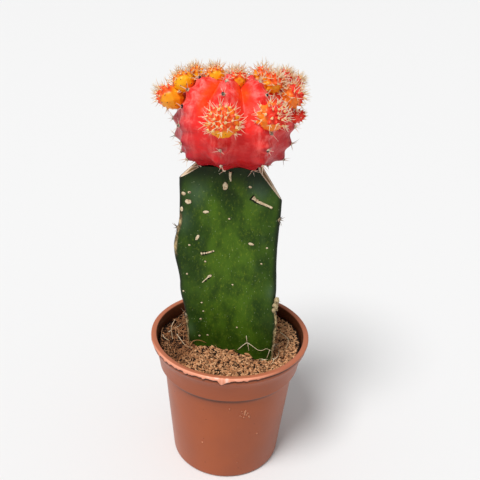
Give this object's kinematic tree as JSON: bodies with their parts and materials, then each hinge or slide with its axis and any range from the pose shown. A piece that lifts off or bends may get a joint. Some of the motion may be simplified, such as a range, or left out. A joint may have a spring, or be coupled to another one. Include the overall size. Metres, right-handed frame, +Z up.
{
  "type": "potted moon cactus",
  "caption": "Grafted moon cactus with a red ribbed head and tubercled offsets on a three-ribbed green stem, rooted in coir in a small tapered plastic nursery pot.",
  "frame": {"origin": "centre of the flat underside of the pot, on the surface that it stands on", "axes": "+Z up along the pot's axis, -Y towards the side seen in the picture, +X to the right in it"},
  "size_m": [0.055, 0.055, 0.1426],
  "materials": {
    "pot": "satin terracotta-coloured moulded plastic",
    "soil": "loose dry coir and potting mix",
    "rootstock": "waxy dark green cactus skin with corky scars",
    "scion": "waxy coral-red cactus skin without chlorophyll",
    "pup_yellow": "waxy yellow-orange cactus skin",
    "pup_orange": "waxy orange cactus skin",
    "pup_red": "waxy orange-red cactus skin"
  },
  "bodies": {
    "root": {"pot": "pot", "soil": "soil", "rootstock": "rootstock", "scion": "scion", "pup_front": "pup_orange", "pup_front_right": "pup_red", "pup_left": "pup_orange", "pup_left_crown": "pup_yellow", "pup_left_small": "pup_yellow", "pup_crown_left": "pup_yellow", "pup_crown_middle": "pup_orange", "pup_crown_right": "pup_orange", "pup_right_inner": "pup_orange", "pup_right": "pup_red", "pup_right_top": "pup_red", "pup_right_small": "pup_red", "pup_right_low": "pup_red", "pup_back_left": "pup_orange", "pup_back_crown": "pup_yellow", "pup_back": "pup_orange", "pup_back_right": "pup_red"}
  },
  "joints": []
}
